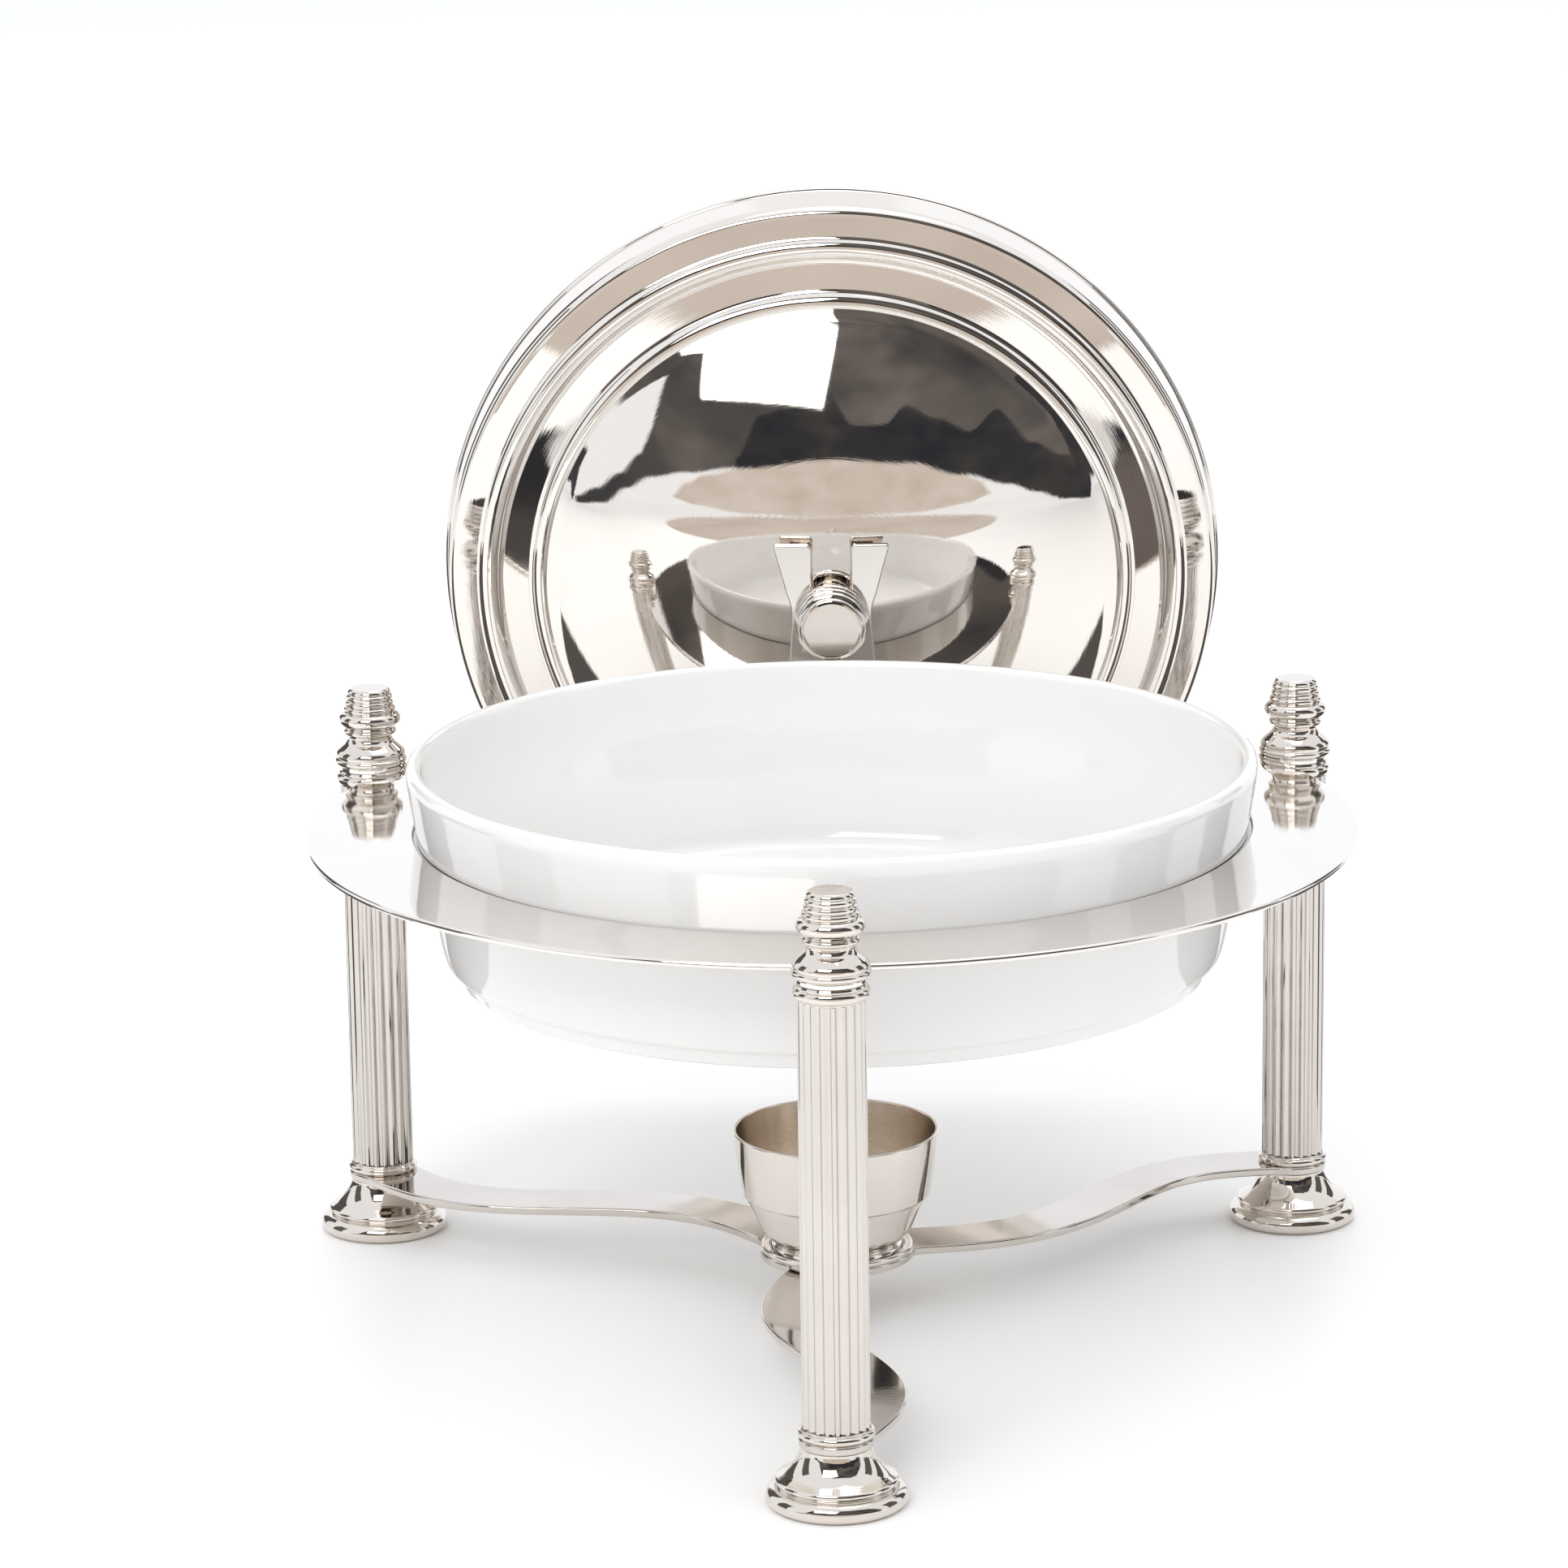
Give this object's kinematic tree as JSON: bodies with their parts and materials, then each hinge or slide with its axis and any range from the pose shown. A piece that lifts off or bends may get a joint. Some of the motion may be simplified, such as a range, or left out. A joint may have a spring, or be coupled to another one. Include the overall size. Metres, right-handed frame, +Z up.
{
  "type": "roll top chafer",
  "caption": "Round chafing dish: three fluted legs, ring plate, lift-out white dish, fuel cup on an S-armed stretcher, and a domed lid hung by its knob on a slotted bracket.",
  "frame": {"origin": "on the floor, under the middle of the whole footprint including the hanging lid", "axes": "+Z up, -Y towards the front leg, +Y towards the hanging lid, +X to the right seen from the front"},
  "size_m": [0.503, 0.6177, 0.4845],
  "materials": {
    "polished_nickel": "mirror polished, faintly warm nickel tone",
    "polished_lid": "mirror polished spun sheet, faintly warm nickel tone",
    "cup_steel": "polished outside, satin spun inside",
    "satin_steel": "satin",
    "fixing_steel": "plain machined",
    "white_porcelain": "glossy clear glaze over white body"
  },
  "bodies": {
    "frame": {"ring_plate": "polished_nickel", "dish_seat_ring": "satin_steel", "lid_bracket": "polished_nickel", "bracket_screw_left": "fixing_steel", "bracket_screw_right": "fixing_steel", "stretcher": "polished_nickel", "burner_seat": "polished_nickel", "finial_front": "polished_nickel", "finial_right": "polished_nickel", "finial_left": "polished_nickel", "collar_front": "polished_nickel", "collar_right": "polished_nickel", "collar_left": "polished_nickel", "column_front": "polished_nickel", "column_right": "polished_nickel", "column_left": "polished_nickel", "base_ring_front": "polished_nickel", "base_ring_right": "polished_nickel", "base_ring_left": "polished_nickel", "foot_front": "polished_nickel", "foot_right": "polished_nickel", "foot_left": "polished_nickel", "tie_rod_front": "fixing_steel", "tie_rod_right": "fixing_steel", "tie_rod_left": "fixing_steel", "foot_nut_front": "fixing_steel", "foot_nut_right": "fixing_steel", "foot_nut_left": "fixing_steel"},
    "dish": {"serving_dish": "white_porcelain"},
    "burner": {"burner_cup": "cup_steel"},
    "lid": {"lid_shell": "polished_lid", "lid_knob": "polished_nickel", "knob_washer": "fixing_steel", "knob_screw": "fixing_steel"}
  },
  "joints": [
    {"name": "dish_lift", "type": "slide", "parent": "frame", "child": "dish", "axis": [0, 0, 1], "range_m": [0, 0.07]},
    {"name": "burner_lift", "type": "slide", "parent": "frame", "child": "burner", "axis": [0, 0, 1], "range_m": [0, 0.06]},
    {"name": "lid_lift", "type": "slide", "parent": "frame", "child": "lid", "axis": [0, -0.1219, 0.9925], "range_m": [0, 0.15]}
  ]
}
